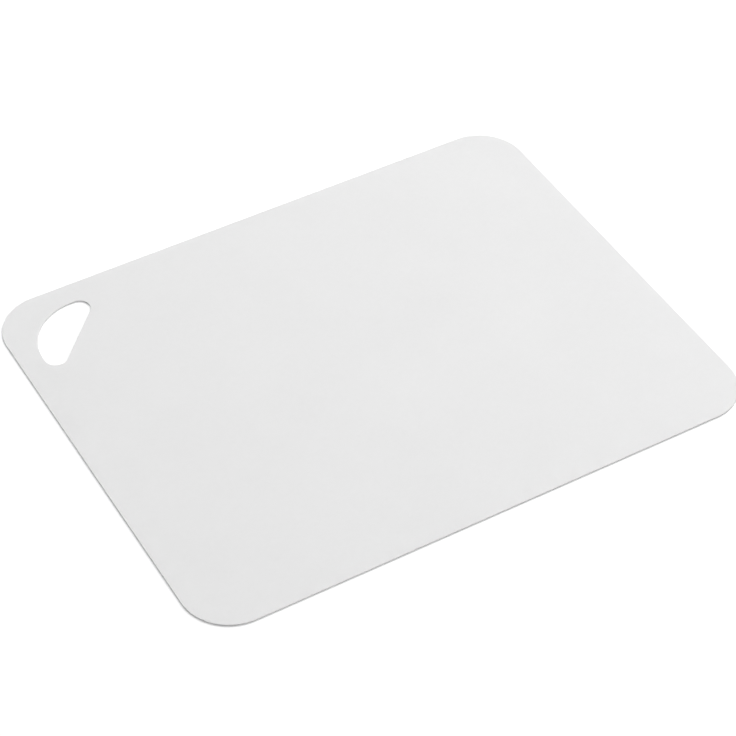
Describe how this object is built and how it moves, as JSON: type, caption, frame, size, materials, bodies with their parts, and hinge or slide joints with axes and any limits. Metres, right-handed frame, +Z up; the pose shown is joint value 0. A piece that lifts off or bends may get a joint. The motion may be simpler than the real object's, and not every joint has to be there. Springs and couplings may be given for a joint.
{
  "type": "flexible cutting mat",
  "caption": "Thin flat rectangular plastic cutting mat with rounded corners and a D-shaped hand opening set across a corner.",
  "frame": {"origin": "middle of the underside, on the surface that the mat lies on", "axes": "+X along the long side, +Y along the short side, +Z up out of the cutting face; the hand opening is in the corner towards -X and +Y"},
  "size_m": [0.381, 0.3048, 0.0012],
  "materials": {
    "sheet": "fine matte, off-white"
  },
  "bodies": {
    "root": {"cutting_mat": "sheet"}
  },
  "joints": []
}
